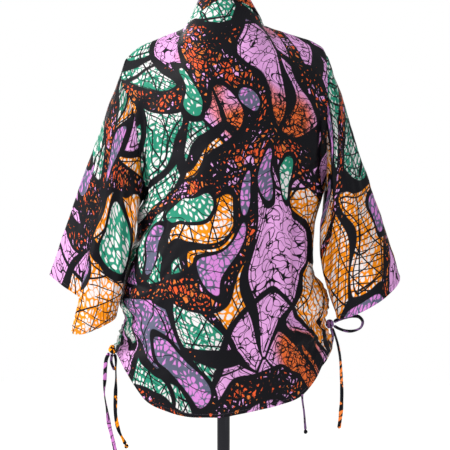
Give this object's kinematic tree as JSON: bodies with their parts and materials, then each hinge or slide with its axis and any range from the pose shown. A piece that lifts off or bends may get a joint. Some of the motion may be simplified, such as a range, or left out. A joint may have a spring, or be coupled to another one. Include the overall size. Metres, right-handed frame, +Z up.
{
  "type": "kimono jacket on a dress form",
  "caption": "Open kimono jacket of printed cotton with wide sleeves, ruched side drawstrings and a rounded hem, on a limbless dress form.",
  "frame": {"origin": "the pole's axis on the underside of the base, where it stands on the floor", "axes": "+Z up along the pole; the jacket faces -Y, its back faces +Y, and the wearer's left is +X"},
  "size_m": [0.7348, 0.35, 1.5343],
  "materials": {
    "print_cotton": "printed plain-weave cotton, matt with a faint glaze",
    "band_cotton": "printed cotton folded double",
    "tie_cotton": "narrow ties of the same dark print",
    "form_jersey": "matt black jersey",
    "form_metal": "black chrome"
  },
  "bodies": {
    "root": {"back": "print_cotton", "front_left": "print_cotton", "front_right": "print_cotton", "sleeve_left": "print_cotton", "sleeve_right": "print_cotton", "neckband_left": "band_cotton", "neckband_right": "band_cotton", "knot_left": "tie_cotton", "knot_right": "tie_cotton", "tie_left_outer": "tie_cotton", "tie_left_inner": "tie_cotton", "tie_left_stub": "tie_cotton", "tie_right_loop": "tie_cotton", "tie_right_outer": "tie_cotton", "tie_right_inner": "tie_cotton", "form_torso": "form_jersey", "form_cap": "form_metal", "form_collar": "form_metal", "form_pole": "form_metal", "form_base": "form_metal"}
  },
  "joints": []
}
